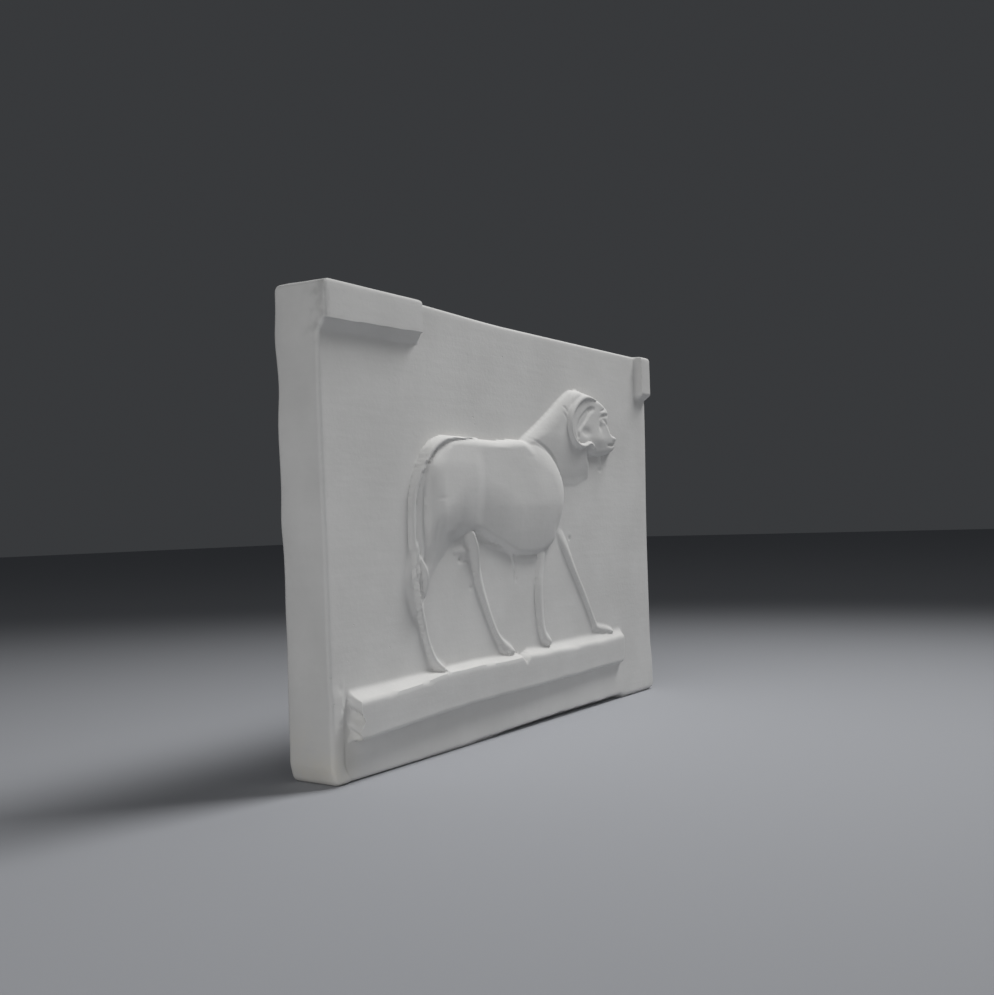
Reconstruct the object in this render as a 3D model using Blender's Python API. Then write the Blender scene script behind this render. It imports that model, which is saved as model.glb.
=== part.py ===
# A plaster cast of a small bas-relief: a ram walking right along a raised ground line, on an upright slab.
# X runs to the right, Z up, and the relief faces -Y. The slab stands on its underside at Z = 0.

import bmesh
import bpy
import numpy as np

# Sizes are in millimetres and become metres when the mesh is written.
MM = 0.001

# Slab
SLAB_WIDTH = 200.0
SLAB_HEIGHT = 140.8
SLAB_DEPTH = 17.0
EDGE_ROUND = 1.2
CORNER_ROUND = 2.0
BACK_ROUND = 1.5
FOOT_REACH = 8.0
FOOT_LIFT_LEAST = 0.2
FOOT_LIFT_RIGHT = 0.6
FOOT_LIFT_MOST = 1.7
FOOT_BACK_LEAST = 0.2
FOOT_BACK_MOST = 3.0

# Frame bar left at the top left corner, and the block left at the top right corner
BAR_PROUD = 3.2
BAR_RIGHT = -57.0
BAR_UNDERSIDE = 131.6
BAR_UNDERSIDE_DROP = 2.4
BLOCK_LEFT = 91.2
BLOCK_UNDERSIDE = 125.2
BLOCK_UNDERSIDE_DROP = 3.0

# Ground line under the feet
LEDGE_LEFT = -93.3
LEDGE_RIGHT = 70.5
LEDGE_PROUD_LEFT = 5.0
LEDGE_PROUD_RIGHT = 2.8
LEDGE_FRONT_TOP_LEFT = 22.9
LEDGE_FRONT_TOP_RIGHT = 25.5
LEDGE_TOP_SLOPE = 0.68
LEDGE_UNDERSIDE_LEFT = 11.9
LEDGE_UNDERSIDE_RIGHT = 14.9

# Sunk band under the ground line, and the strip left standing at the lower left corner
SUNK_DEPTH = 0.7
SUNK_RIGHT = 71.0
STRIP_RIGHT = -94.3
STRIP_PROUD = 1.2
STRIP_TOP = 28.0

# Ram
BODY_PROUD = 4.4
NECK_PROUD = 3.0
HEAD_PROUD = 3.4
BODY_OUTLINE = (
    (-60.5, 54), (-60, 64), (-59.5, 78), (-57.5, 89.5), (-52, 96.5), (-45, 100.4), (-33, 100.9), (-18, 100.6),
    (-4, 101.6), (8, 100), (16, 94.5), (21.5, 87.5), (23.6, 79), (21.5, 70.5), (15.5, 64), (7, 60.2),
    (-3, 60.2), (-16, 63.8), (-28, 67.9), (-36, 68.2), (-44, 63), (-52, 56.6), (-57, 50.5),
)
NECK_OUTLINE = (
    (-4, 98), (1, 102.4), (10, 107.2), (20, 112.7), (30, 119.4), (36, 122), (44, 121), (48, 110),
    (48.5, 98), (47.8, 92), (46.4, 84), (43, 76), (35, 68), (20, 64), (6, 66), (-6, 84),
)
HEAD_OUTLINE = (
    (33, 119), (38, 122.6), (46, 122.2), (54, 120.4), (60, 118), (63, 115.5), (63.5, 112.5), (65.5, 108.5),
    (68.6, 105.4), (67.6, 103), (66.4, 100.6), (64, 98.3), (56, 97), (48, 97.6), (38, 99.4), (31.5, 105),
    (30, 112),
)

# Each stroke is a run of stations: x, z, half width and height.
HORN_COIL = (
    (48.0, 119.4, 1.6, 3.8), (43.0, 119.8, 2.2, 4.3), (37.0, 117.6, 2.6, 4.6), (33.0, 113.0, 2.6, 4.7),
    (32.2, 107.2, 2.5, 4.7), (34.2, 102.2, 2.2, 4.6), (38.2, 100.3, 1.8, 4.5), (43.2, 101.6, 1.5, 4.5),
    (48.6, 100.8, 1.2, 3.9),
)
BROW = ((53.0, 112.8, 0.7, 0.6), (56.5, 113.8, 0.8, 0.7), (61.5, 113.8, 0.6, 0.4))
EAR = ((37.5, 107.4, 1.2, 2.9), (41.0, 109.2, 1.4, 3.1), (44.5, 111.0, 1.0, 3.2))
NEAR_HIND_LEG = (
    (-59.3, 54, 3.2, 3.2), (-59.2, 48, 2.6, 2.5), (-58.2, 40, 2.2, 2.1), (-56.4, 35, 2.1, 2.1),
    (-54.6, 30.5, 2.4, 2.3), (-53.0, 27.0, 2.4, 3.6), (-51.6, 25.2, 2.2, 4.8),
)
FAR_HIND_LEG = (
    (-31.5, 67, 3.0, 2.6), (-29.2, 60, 3.2, 2.3), (-28.4, 55, 3.0, 2.2), (-26.8, 49, 2.4, 2.0),
    (-23.3, 42.5, 2.0, 1.9), (-20.2, 37, 1.8, 1.8), (-17.2, 32.5, 2.0, 1.9), (-13.4, 29, 2.4, 2.1),
    (-11.2, 27.2, 1.8, 2.4),
)
NEAR_FRONT_LEG = (
    (11.6, 63, 3.4, 3.0), (10.6, 56, 2.7, 2.4), (9.2, 48, 2.7, 2.2), (9.4, 41, 2.6, 2.1),
    (9.6, 35, 2.5, 2.1), (11.0, 31, 3.0, 2.2), (13.0, 28, 2.8, 2.6),
)
FAR_FRONT_LEG = (
    (24.6, 66, 3.2, 2.6), (28.2, 60.5, 2.4, 2.3), (32.2, 55.5, 2.0, 2.2), (36.1, 50, 1.8, 2.0),
    (39.1, 45, 1.8, 2.0), (42, 41, 1.8, 1.9), (44.8, 36, 1.8, 1.9), (48.2, 31.6, 2.1, 2.1),
    (53.5, 29.2, 2.2, 2.2), (59.0, 27.6, 2.3, 2.5), (63.0, 26.6, 2.0, 2.8),
)
TAIL = (
    (-40, 99.2, 1.4, 4.6), (-47, 98.6, 1.8, 4.4), (-53.5, 95.4, 2.0, 4.0), (-58.2, 91.0, 1.9, 3.4),
    (-60.4, 86, 2.1, 2.8), (-61.2, 78, 2.4, 2.6), (-61.2, 70, 2.5, 2.6), (-61.4, 62, 2.6, 2.8),
    (-62.2, 55, 2.6, 2.5), (-61.8, 49, 1.6, 1.8),
)
BELLY_SKIN = (
    (-32, 67.5, 3.0, 0.8), (-20, 65, 3.8, 0.8), (-12, 62, 3.6, 0.8), (-9.0, 57.5, 1.6, 0.7),
    (-8.0, 53, 1.0, 0.6),
)

# Fine grid that the relief is worked out on, and the facets that are kept
GRID_STEP = 0.6
FACETS = 9400
CURVE_STEPS = 5

PLASTER_COLOUR = (0.74, 0.73, 0.71, 1.0)
PLASTER_ROUGHNESS = 0.85


def ease(t):
    t = np.clip(t, 0.0, 1.0)
    return t * t * (3.0 - 2.0 * t)


def between(low, high, t):
    return low + (high - low) * t


def blend_max(a, b, soft):
    t = np.clip(0.5 + 0.5 * (a - b) / soft, 0.0, 1.0)
    return between(b, a, t) + 0.5 * soft * t * (1.0 - t)


def smooth_curve(stations, closed=False):
    """Points of a Catmull-Rom curve through the stations, which can hold more than two values each."""
    p = np.asarray(stations, float)
    count = len(p)
    found = []
    for i in range(count if closed else count - 1):
        if closed:
            a, b, c, d = (p[(i + k) % count] for k in (-1, 0, 1, 2))
        else:
            a, b, c, d = p[max(i - 1, 0)], p[i], p[i + 1], p[min(i + 2, count - 1)]
        for t in np.arange(CURVE_STEPS) / CURVE_STEPS:
            cubic = (3 * b - a - 3 * c + d) * t**3
            square = (2 * a - 5 * b + 4 * c - d) * t**2
            found.append(b + 0.5 * (cubic + square + (c - a) * t))
    if not closed:
        found.append(p[-1])
    return np.array(found)


def nearest_on(x, z, start, end):
    """How far each point is from a straight stretch, and how far along the stretch its nearest point lies."""
    run = end - start
    t = ((x - start[0]) * run[0] + (z - start[1]) * run[1]) / max(run @ run, 1e-9)
    t = np.clip(t, 0.0, 1.0)
    return np.hypot(x - start[0] - t * run[0], z - start[1] - t * run[1]), t


def inside_depth(x, z, outline):
    """How deep each point lies inside a closed outline, negative outside it."""
    line = smooth_curve(outline, closed=True)
    nearest = np.full(x.shape, np.inf)
    inside = np.zeros(x.shape, bool)
    for start, end in zip(line, np.roll(line, -1, axis=0)):
        nearest = np.minimum(nearest, nearest_on(x, z, start, end)[0])
        if start[1] != end[1]:
            crosses = (start[1] > z) != (end[1] > z)
            inside ^= crosses & (x < between(start[0], end[0], (z - start[1]) / (end[1] - start[1])))
    return np.where(inside, nearest, -nearest)


def mound(x, z, outline, height, rim):
    """A flat-topped form whose edge is rounded over the width of its rim."""
    t = np.clip(inside_depth(x, z, outline) / rim, 0.0, 1.0)
    return height * np.sqrt(1.0 - (1.0 - t) ** 2)


def stroke(x, z, stations, soft=False):
    """A rounded ridge along a curve, with the half width and height of each station."""
    line = smooth_curve(stations)
    height = np.zeros(x.shape)
    for start, end in zip(line[:-1], line[1:]):
        away, t = nearest_on(x, z, start[:2], end[:2])
        across = np.clip(1.0 - (away / between(start[2], end[2], t)) ** 2, 0.0, 1.0)
        height = np.maximum(height, between(start[3], end[3], t) * (across**2 if soft else np.sqrt(across)))
    return height


def dome(x, z, centre_x, centre_z, radius_x, radius_z, height):
    away = ((x - centre_x) / radius_x) ** 2 + ((z - centre_z) / radius_z) ** 2
    return height * np.exp(-2.0 * away)


def corner_pieces(x, z):
    """The frame bar and the corner block, each with a sloping underside that runs out into the ground."""
    bar_end = ease((BAR_RIGHT - x + 0.6) / 1.2)
    bar = np.clip((z - BAR_UNDERSIDE) / BAR_UNDERSIDE_DROP + 1.0, 0.0, 1.0)
    block_end = ease((x - BLOCK_LEFT + 0.6) / 1.4)
    block = np.clip((z - BLOCK_UNDERSIDE) / BLOCK_UNDERSIDE_DROP + 1.0, 0.0, 1.0)
    return BAR_PROUD * (bar * bar_end + block * block_end)


def ledge(x, z):
    """The ground line: an upright front, a top that slopes back to the ground, and a square underside."""
    along = np.clip((x - LEDGE_LEFT) / (LEDGE_RIGHT - LEDGE_LEFT), 0.0, 1.0)
    proud = between(LEDGE_PROUD_LEFT, LEDGE_PROUD_RIGHT, along)
    front_top = between(LEDGE_FRONT_TOP_LEFT, LEDGE_FRONT_TOP_RIGHT, along)
    underside = between(LEDGE_UNDERSIDE_LEFT, LEDGE_UNDERSIDE_RIGHT, along)
    top = np.clip(proud - (z - front_top) / LEDGE_TOP_SLOPE, 0.0, proud)
    ends = ease((x - LEDGE_LEFT) / 1.2) * ease((LEDGE_RIGHT - x + 0.6) / 1.6)
    return top * ends * ease((z - underside + 0.4) / 0.8)


def slab_ground(x, z):
    """The plain surfaces of the slab: ground, sunk band, corner strip, frame pieces and ground line."""
    along = np.clip((x - LEDGE_LEFT) / (LEDGE_RIGHT - LEDGE_LEFT), 0.0, 1.0)
    underside = between(LEDGE_UNDERSIDE_LEFT, LEDGE_UNDERSIDE_RIGHT, along)
    sunk = ease((SUNK_RIGHT - x + 0.8) / 1.6) * ease((underside - z + 0.8) / 1.2)
    strip = ease((STRIP_RIGHT + 3.0 * ease((6.0 - z) / 6.0) - x) / 1.2) * ease((STRIP_TOP + 4.0 - z) / 8.0)
    ground = STRIP_PROUD * strip - SUNK_DEPTH * sunk * (1.0 - strip)
    return ground + corner_pieces(x, z) + ledge(x, z)


def ram_body(x, z):
    under = ease((82.0 - z) / 22.0) * ease((x + 40.0) / 10.0)
    height = between(2.4, BODY_PROUD, ease((z - 50.0) / 17.0))
    body = mound(x, z, BODY_OUTLINE, height, between(2.8, 9.0, under))
    on_body = ease(body / BODY_PROUD)
    swell = dome(x, z, -45, 82, 11, 15, 0.6) + dome(x, z, 8, 84, 15, 14, 0.5) + dome(x, z, 14, 68, 5, 6, 0.6)
    hollow = dome(x, z, -55.6, 77, 2.8, 11, 1.5) + dome(x, z, -29, 88, 7, 10, 0.4)
    return body + on_body * (swell - hollow)


def ram_neck(x, z):
    fade = ease((z - 68.0) / 26.0)
    rim = between(10.0, 3.0, ease((z - 76.0) / 14.0)) + 3.0 * ease((z - 96.0) / 10.0)
    return mound(x, z, NECK_OUTLINE, NECK_PROUD * fade, rim)


def ram_head(x, z):
    head = mound(x, z, HEAD_OUTLINE, HEAD_PROUD, 2.6)
    hollow = dome(x, z, 41, 109, 6.0, 6.5, 1.2)
    eye = dome(x, z, 57.5, 111.2, 2.4, 1.1, 0.5) + dome(x, z, 53, 109, 2.0, 1.1, 0.6)
    mouth = dome(x, z, 62.5, 102.1, 4.0, 0.7, 0.7)
    head = head - (hollow + eye + mouth + stroke(x, z, BROW, soft=True)) * ease(head)
    head = blend_max(head, stroke(x, z, EAR, soft=True), 0.4)
    return blend_max(head, stroke(x, z, HORN_COIL), 0.3)


def ram(x, z):
    height = blend_max(ram_body(x, z), ram_neck(x, z), 0.3)
    height = blend_max(height, ram_head(x, z), 0.4)
    for leg in (NEAR_HIND_LEG, FAR_HIND_LEG, NEAR_FRONT_LEG, FAR_FRONT_LEG, BELLY_SKIN):
        height = blend_max(height, stroke(x, z, leg), 0.5)
    return blend_max(height, stroke(x, z, TAIL), 0.3)


def relief(x, z):
    """How far the surface stands in front of the slab's plain ground."""
    ground = slab_ground(x, z)
    figure = ram(x, z)
    return np.where(figure > 0.02, blend_max(figure, ground, 0.6), ground)


def left_edge(z):
    return -SLAB_WIDTH / 2 - 0.3 - 1.2 * ease((z - 30.0) / 90.0) + 1.2 * ease((6.0 - z) / 6.0)


def right_edge(z):
    return SLAB_WIDTH / 2 - 2.2 + 2.0 * ease((z - 60.0) / 60.0) + 1.2 * ease((20.0 - z) / 12.0)


def foot_edge(x):
    """How far the front edge of the underside is worn up from the floor."""
    worn = between(FOOT_LIFT_LEAST, FOOT_LIFT_MOST, ease((x + 75.0) / 110.0))
    return worn - (FOOT_LIFT_MOST - FOOT_LIFT_RIGHT) * ease((x - 68.0) / 6.0)


def foot_back(x):
    """How far behind the front rim the slab starts to stand on the floor; both ends stand far forward."""
    worn = (foot_edge(x) - FOOT_LIFT_RIGHT) / (FOOT_LIFT_MOST - FOOT_LIFT_RIGHT)
    return between(FOOT_BACK_LEAST, FOOT_BACK_MOST, ease(worn))


def grid_lines(length, creases):
    """Places across the slab, close together at its rounded edges and with a line along each crease."""
    turn = np.linspace(0.0, np.pi / 2, 5)[:-1]
    edge = EDGE_ROUND * (1.0 - np.cos(turn))
    inner = np.linspace(EDGE_ROUND, length - EDGE_ROUND, int(length / GRID_STEP))
    for crease in creases:
        nearest = np.argmin(np.abs(inner - crease))
        inner[nearest] = crease
    return np.concatenate([edge, inner, length - edge[::-1]])


def rounded_plan(u, v):
    """Moves the points near a corner of the slab so that the corner is round."""
    across = np.clip(CORNER_ROUND - np.minimum(u, SLAB_WIDTH - u), 0.0, None)
    upward = np.clip(CORNER_ROUND - np.minimum(v, SLAB_HEIGHT - v), 0.0, None)
    pull = 1.0 / (2.0 * CORNER_ROUND**2)
    shift_u = across * (1.0 - np.sqrt(1.0 - pull * upward**2))
    shift_v = upward * (1.0 - np.sqrt(1.0 - pull * across**2))
    u = u + np.where(u < SLAB_WIDTH / 2, shift_u, -shift_u)
    v = v + np.where(v < SLAB_HEIGHT / 2, shift_v, -shift_v)
    return u, v


def front_points(u, v):
    """Front surface: x, z and the height over the plain ground, for places u across and v up the slab."""
    near = np.clip(EDGE_ROUND - np.minimum(u, SLAB_WIDTH - u), 0.0, None)
    low = np.clip(EDGE_ROUND - np.minimum(v, SLAB_HEIGHT - v), 0.0, None)
    drop = EDGE_ROUND - np.sqrt(np.clip(EDGE_ROUND**2 - near**2 - low**2, 0.0, None))
    u, v = rounded_plan(u, v)
    x = between(left_edge(v), right_edge(v), u / SLAB_WIDTH)
    along = np.clip((x - LEDGE_LEFT) / (LEDGE_RIGHT - LEDGE_LEFT), 0.0, 1.0)
    tilt = (LEDGE_FRONT_TOP_RIGHT - LEDGE_FRONT_TOP_LEFT) * along * ease((v - 2.0) / 8.0) * ease((48.0 - v) / 18.0)
    z = v + tilt + foot_edge(x) * np.clip(1.0 - v / FOOT_REACH, 0.0, 1.0)
    return x, z, relief(x, z) - drop


def front_grid(bm):
    """A grid shaped into the front of the slab."""
    middle = SLAB_WIDTH / 2
    ends = [LEDGE_LEFT, LEDGE_LEFT + 1.2, BAR_RIGHT - 0.6, BAR_RIGHT + 0.6, BLOCK_LEFT - 0.6, BLOCK_LEFT + 0.8]
    levels = [LEDGE_UNDERSIDE_LEFT - 0.4, LEDGE_UNDERSIDE_LEFT + 0.4, LEDGE_FRONT_TOP_LEFT]
    levels += [BAR_UNDERSIDE - BAR_UNDERSIDE_DROP, BAR_UNDERSIDE]
    levels += [BLOCK_UNDERSIDE - BLOCK_UNDERSIDE_DROP, BLOCK_UNDERSIDE]
    across = grid_lines(SLAB_WIDTH, [middle + place for place in ends])
    upward = grid_lines(SLAB_HEIGHT, levels)
    bmesh.ops.create_grid(bm, x_segments=len(across) - 1, y_segments=len(upward) - 1, size=0.5)
    flat = np.array([v.co for v in bm.verts]) + 0.5
    u = np.interp(flat[:, 0], np.linspace(0.0, 1.0, len(across)), across)
    v = np.interp(flat[:, 1], np.linspace(0.0, 1.0, len(upward)), upward)
    x, z, height = front_points(u, v)
    for vert, place in zip(bm.verts, np.stack([x, -height, z], axis=1)):
        vert.co = place


def extruded(bm, rim):
    grown = bmesh.ops.extrude_edge_only(bm, edges=rim)["geom"]
    edges = [item for item in grown if isinstance(item, bmesh.types.BMEdge)]
    return edges, [item for item in grown if isinstance(item, bmesh.types.BMVert)]


def close_behind(bm):
    """Extrudes the rim of the front down to the foot, back round the slab's sides, and closes the back."""
    rim, verts = extruded(bm, [edge for edge in bm.edges if edge.is_boundary])
    for vert in verts:
        if vert.co.z < FOOT_REACH:
            vert.co.y += foot_back(vert.co.x)
            foot = foot_edge(vert.co.x)
            vert.co.z = (vert.co.z - foot) / (1.0 - foot / FOOT_REACH)
        else:
            vert.co.y += FOOT_BACK_LEAST
    start = SLAB_DEPTH - BACK_ROUND
    turn = np.linspace(0.0, np.pi / 2, 5)
    rings = [(start + BACK_ROUND * np.sin(a), BACK_ROUND * (1.0 - np.cos(a))) for a in turn]
    middle_x, middle_z = (left_edge(SLAB_HEIGHT) + right_edge(SLAB_HEIGHT)) / 2, SLAB_HEIGHT / 2
    past = 0.0
    for depth, inset in rings:
        rim, verts = extruded(bm, rim)
        narrower = (SLAB_WIDTH / 2 - inset) / (SLAB_WIDTH / 2 - past)
        lower = (SLAB_HEIGHT / 2 - inset) / (SLAB_HEIGHT / 2 - past)
        for vert in verts:
            vert.co.x = middle_x + (vert.co.x - middle_x) * narrower
            vert.co.z = middle_z + (vert.co.z - middle_z) * lower
            vert.co.y = depth
        past = inset
    bmesh.ops.contextual_create(bm, geom=rim)


def plaster():
    material = bpy.data.materials.new("plaster")
    material.use_nodes = True
    shader = material.node_tree.nodes["Principled BSDF"]
    shader.inputs["Base Color"].default_value = PLASTER_COLOUR
    shader.inputs["Roughness"].default_value = PLASTER_ROUGHNESS
    shader.inputs["Metallic"].default_value = 0.0
    return material


def main():
    for item in list(bpy.data.objects):
        bpy.data.objects.remove(item, do_unlink=True)
    bm = bmesh.new()
    front_grid(bm)
    close_behind(bm)
    bmesh.ops.recalc_face_normals(bm, faces=bm.faces)
    bmesh.ops.triangulate(bm, faces=bm.faces)
    places = np.array([vert.co for vert in bm.verts])
    middle = (places.min(axis=0) + places.max(axis=0)) / 2
    bmesh.ops.translate(bm, verts=bm.verts, vec=(-middle[0], -middle[1], 0.0))
    bmesh.ops.scale(bm, verts=bm.verts, vec=(MM, MM, MM))
    mesh = bpy.data.meshes.new("plaster_relief")
    bm.to_mesh(mesh)
    bm.free()
    mesh.shade_smooth()
    mesh.set_sharp_from_angle(angle=np.radians(35.0))
    mesh.materials.append(plaster())
    slab = bpy.data.objects.new("plaster_relief", mesh)
    bpy.context.collection.objects.link(slab)
    fewer = slab.modifiers.new("fewer facets", "DECIMATE")
    fewer.ratio = FACETS / len(mesh.polygons)


main()
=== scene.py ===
import bpy
import numpy as np
from mathutils import Matrix, Vector


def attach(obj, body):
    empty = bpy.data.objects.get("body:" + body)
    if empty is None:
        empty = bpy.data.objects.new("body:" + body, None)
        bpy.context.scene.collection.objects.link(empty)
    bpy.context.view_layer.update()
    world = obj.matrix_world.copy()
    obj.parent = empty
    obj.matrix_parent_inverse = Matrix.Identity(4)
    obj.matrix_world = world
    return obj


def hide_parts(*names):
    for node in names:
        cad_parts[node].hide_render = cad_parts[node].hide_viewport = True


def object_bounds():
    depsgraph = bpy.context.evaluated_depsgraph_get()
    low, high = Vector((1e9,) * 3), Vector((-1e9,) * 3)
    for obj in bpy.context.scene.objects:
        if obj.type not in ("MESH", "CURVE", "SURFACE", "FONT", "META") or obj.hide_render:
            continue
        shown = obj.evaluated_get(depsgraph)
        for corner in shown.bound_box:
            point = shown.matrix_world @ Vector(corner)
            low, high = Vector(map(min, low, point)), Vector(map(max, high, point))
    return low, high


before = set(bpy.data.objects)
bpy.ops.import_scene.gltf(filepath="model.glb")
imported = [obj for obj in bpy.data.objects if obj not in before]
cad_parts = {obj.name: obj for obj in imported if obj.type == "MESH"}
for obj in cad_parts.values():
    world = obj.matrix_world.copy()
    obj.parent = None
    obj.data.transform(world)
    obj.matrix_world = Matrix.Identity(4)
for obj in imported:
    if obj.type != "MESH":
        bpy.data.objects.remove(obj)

# A plaster cast of a small bas-relief: a ram walking right along a raised ground line.
# Sizes are in millimetres on the slab: x to the right, z up from the underside, height forward of the ground.
mm = 0.001
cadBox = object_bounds()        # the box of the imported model, before any piece of this scene

slab = {
    "width": 200.0,
    "height": 140.8,
    "depth": 17.0,
    "edgeRound": 1.2,
    "cornerRound": 2.0,
    "backRound": 1.5,
    "roundSteps": 6,        # points round each of these edges
    # how far the left side stands out, further out at the top and back in at the foot
    "leftBow": (0.3, 1.2, 1.2),
    # how far the right side lies in, and out again at the top and at the foot
    "rightBow": (2.2, 2.0, 1.2),
    "footReach": 8.0,        # how far up the front the worn foot is felt
    "footLift": (0.2, 0.6, 1.7),        # at the left, at the right, and where it is worn most
    "footBack": (0.2, 3.0),
    "sunkDepth": 0.7,
    "sunkRight": 71.0,
    "stripRight": -94.3,
    "stripProud": 0.6,
    "stripTop": 28.0,
    # unevenness of the front, the foot and the sides: length, height and the seed of its waves
    "ripple": (45.0, 0.07, 11),
    "footRipple": (13.0, 0.14, 21),
    "sideRipple": (34.0, 0.22, 31),
    # dents and worn pits low on the front: x, z, radius across, radius up and depth
    "dents": (
        (-96.2, 27.0, 1.2, 1.8, 0.35), (-96.6, 17.0, 1.0, 1.2, 0.35), (-95.7, 21.0, 0.7, 0.7, 0.3),
        (-91.0, 6.5, 0.9, 0.9, 0.5), (-90.0, 4.6, 0.8, 0.7, 0.4), (-89.0, 3.7, 0.7, 0.6, 0.3),
        (68.0, 2.3, 3.0, 0.9, 0.4), (-92.0, 1.2, 1.4, 0.8, 0.4), (-77.0, 1.2, 1.4, 0.8, 0.4),
        (99.0, 121.6, 1.6, 0.9, 0.5),
    ),
    # how much higher the top edge is at the left, on the front and again at the back
    "topRise": (1.3, 0.6),
    "sideRings": (6.0, 9.0, 12.0),        # depths at which the sides have a ring of points
    # swells down the left side: height, reach and how far outward
    "sideSwells": ((127.0, 6.0, 0.6), (112.0, 7.0, -0.5), (74.0, 6.0, 0.4), (40.0, 8.0, -0.3)),
    "sharpAngle": 50.0,        # edges steeper than this aren't smoothed
}
grid = {
    # places across and up the slab where the spacing of the mesh changes, and the spacings between them
    "across": (3.0, 6.2, 8.2, 14.0, 34.0, 128.0, 172.0),
    "acrossSteps": (1.1, 0.45, 0.18, 0.45, 1.1, 0.58, 0.46, 1.2),
    "up": (3.0, 96.0, 134.0),
    "upSteps": (0.9, 0.62, 0.45, 1.1),
    "curveSteps": 6,
}


def ease(t):
    t = np.clip(t, 0.0, 1.0)
    return t * t * (3.0 - 2.0 * t)


def between(low, high, t):
    return low + (high - low) * t


def softMax(a, b, soft):
    t = np.clip(0.5 + 0.5 * (a - b) / soft, 0.0, 1.0)
    return between(b, a, t) + 0.5 * soft * t * (1.0 - t)


def curveThrough(stations, closed=False):
    # a Catmull-Rom curve; a station may hold more than a place, such as its width and height
    p = np.asarray(stations, float)
    count = len(p)
    found = []
    for i in range(count if closed else count - 1):
        if closed:
            a, b, c, d = (p[(i + k) % count] for k in (-1, 0, 1, 2))
        else:
            a, b, c, d = p[max(i - 1, 0)], p[i], p[i + 1], p[min(i + 2, count - 1)]
        for t in np.arange(grid["curveSteps"]) / grid["curveSteps"]:
            cubic = (3 * b - a - 3 * c + d) * t**3
            square = (2 * a - 5 * b + 4 * c - d) * t**2
            found.append(b + 0.5 * (cubic + square + (c - a) * t))
    if not closed:
        found.append(p[-1])
    return np.array(found)


def nearestOn(x, z, start, end):
    run = end - start
    t = ((x - start[0]) * run[0] + (z - start[1]) * run[1]) / max(run @ run, 1e-9)
    t = np.clip(t, 0.0, 1.0)
    return np.hypot(x - start[0] - t * run[0], z - start[1] - t * run[1]), t


def around(x, z, line, reach):
    # the points near a curve, so that far ones aren't worked out
    low, high = line[:, :2].min(axis=0) - reach, line[:, :2].max(axis=0) + reach
    return (x > low[0]) & (x < high[0]) & (z > low[1]) & (z < high[1])


def depthInside(x, z, outline):
    # how far inside a closed outline each point lies, 0 outside it
    line = curveThrough(outline, closed=True)
    near = around(x, z, line, 0.5)
    px, pz = x[near], z[near]
    away = np.full(px.shape, np.inf)
    inside = np.zeros(px.shape, bool)
    for start, end in zip(line, np.roll(line, -1, axis=0)):
        away = np.minimum(away, nearestOn(px, pz, start, end)[0])
        if start[1] != end[1]:
            crosses = (start[1] > pz) != (end[1] > pz)
            inside ^= crosses & (px < between(start[0], end[0], (pz - start[1]) / (end[1] - start[1])))
    found = np.zeros(x.shape)
    found[near] = np.where(inside, away, 0.0)
    return found


def rounded(depth, rim, roundness):
    # 0 at the edge to 1 over the width of the rim: a quarter circle where roundness is 1, a gentle slope at 0
    t = np.clip(depth / rim, 0.0, 1.0)
    slope = 1.0 - (1.0 - t) ** 2
    return between(slope, np.sqrt(slope), roundness)


def ridge(x, z, stations, soft=False, lean=0.0, flat=2.0):
    # a ridge along a curve; each station is x, z, half width and height
    # a negative lean moves the crest to the left of a curve that runs down; a larger flat widens its top
    line = curveThrough(stations)
    near = around(x, z, line, line[:, 2].max())
    px, pz = x[near], z[near]
    height = np.zeros(px.shape)
    for start, end in zip(line[:-1], line[1:]):
        away, t = nearestOn(px, pz, start[:2], end[:2])
        side = np.sign((end[0] - start[0]) * (pz - start[1]) - (end[1] - start[1]) * (px - start[0]))
        share = side * away / between(start[2], end[2], t) - lean
        share = share / np.where(share > 0.0, 1.0 - lean, 1.0 + lean)
        across = np.clip(1.0 - np.abs(share) ** flat, 0.0, 1.0)
        height = np.maximum(height, between(start[3], end[3], t) * (across**2 if soft else np.sqrt(across)))
    found = np.zeros(x.shape)
    found[near] = height
    return found


def domes(x, z, places):
    # soft swellings or dents; each place is x, z, radius across, radius up and height
    found = np.zeros(x.shape)
    for cx, cz, rx, rz, height in places:
        found += height * np.exp(-2.0 * (((x - cx) / rx) ** 2 + ((z - cz) / rz) ** 2))
    return found


def ripples(x, z, length, height, seed):
    # a gentle unevenness, the same each run
    rng = np.random.default_rng(seed)
    found = np.zeros(np.broadcast(x, z).shape)
    turns, phases, stretches = rng.uniform(0, np.pi, 7), rng.uniform(0, 2 * np.pi, 7), rng.uniform(0.7, 1.5, 7)
    for turn, phase, stretch in zip(turns, phases, stretches):
        wave = 2 * np.pi / (length * stretch)
        found += np.sin(wave * (x * np.cos(turn) + z * np.sin(turn)) + phase)
    return height * found / 3.0


# Frame bar at the top left, block at the top right
framePieces = {
    "proud": 3.2,
    "barRight": -57.0,
    "barUnderside": 131.1,
    "barRise": 1.1,        # how much higher the underside is at the bar's right end
    # the slope under the bar: height below the front's lower edge, and how proud
    "barSlope": ((-3.6, 0.0), (-0.3, 2.75), (0.0, 3.2)),
    # fine groove along the top of that slope: depth, place and half width
    "barGroove": (0.3, 0.7, 0.42),
    "barRipple": (9.0, 0.1, 3),
    "barEdge": 0.6,        # half the width of the slope at the bar's right end
    "blockLeft": 91.2,
    "blockUnderside": 125.2,
    "blockDrop": 3.0,
    "blockEdge": (0.6, 1.0),        # how far the slope of its left side reaches, out and in
}


def barLift(x):
    f = framePieces
    return f["barRise"] * np.clip((x + 95.0) / 38.0, 0.0, 1.0) + ripples(x, 0.0, *f["barRipple"])


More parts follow.
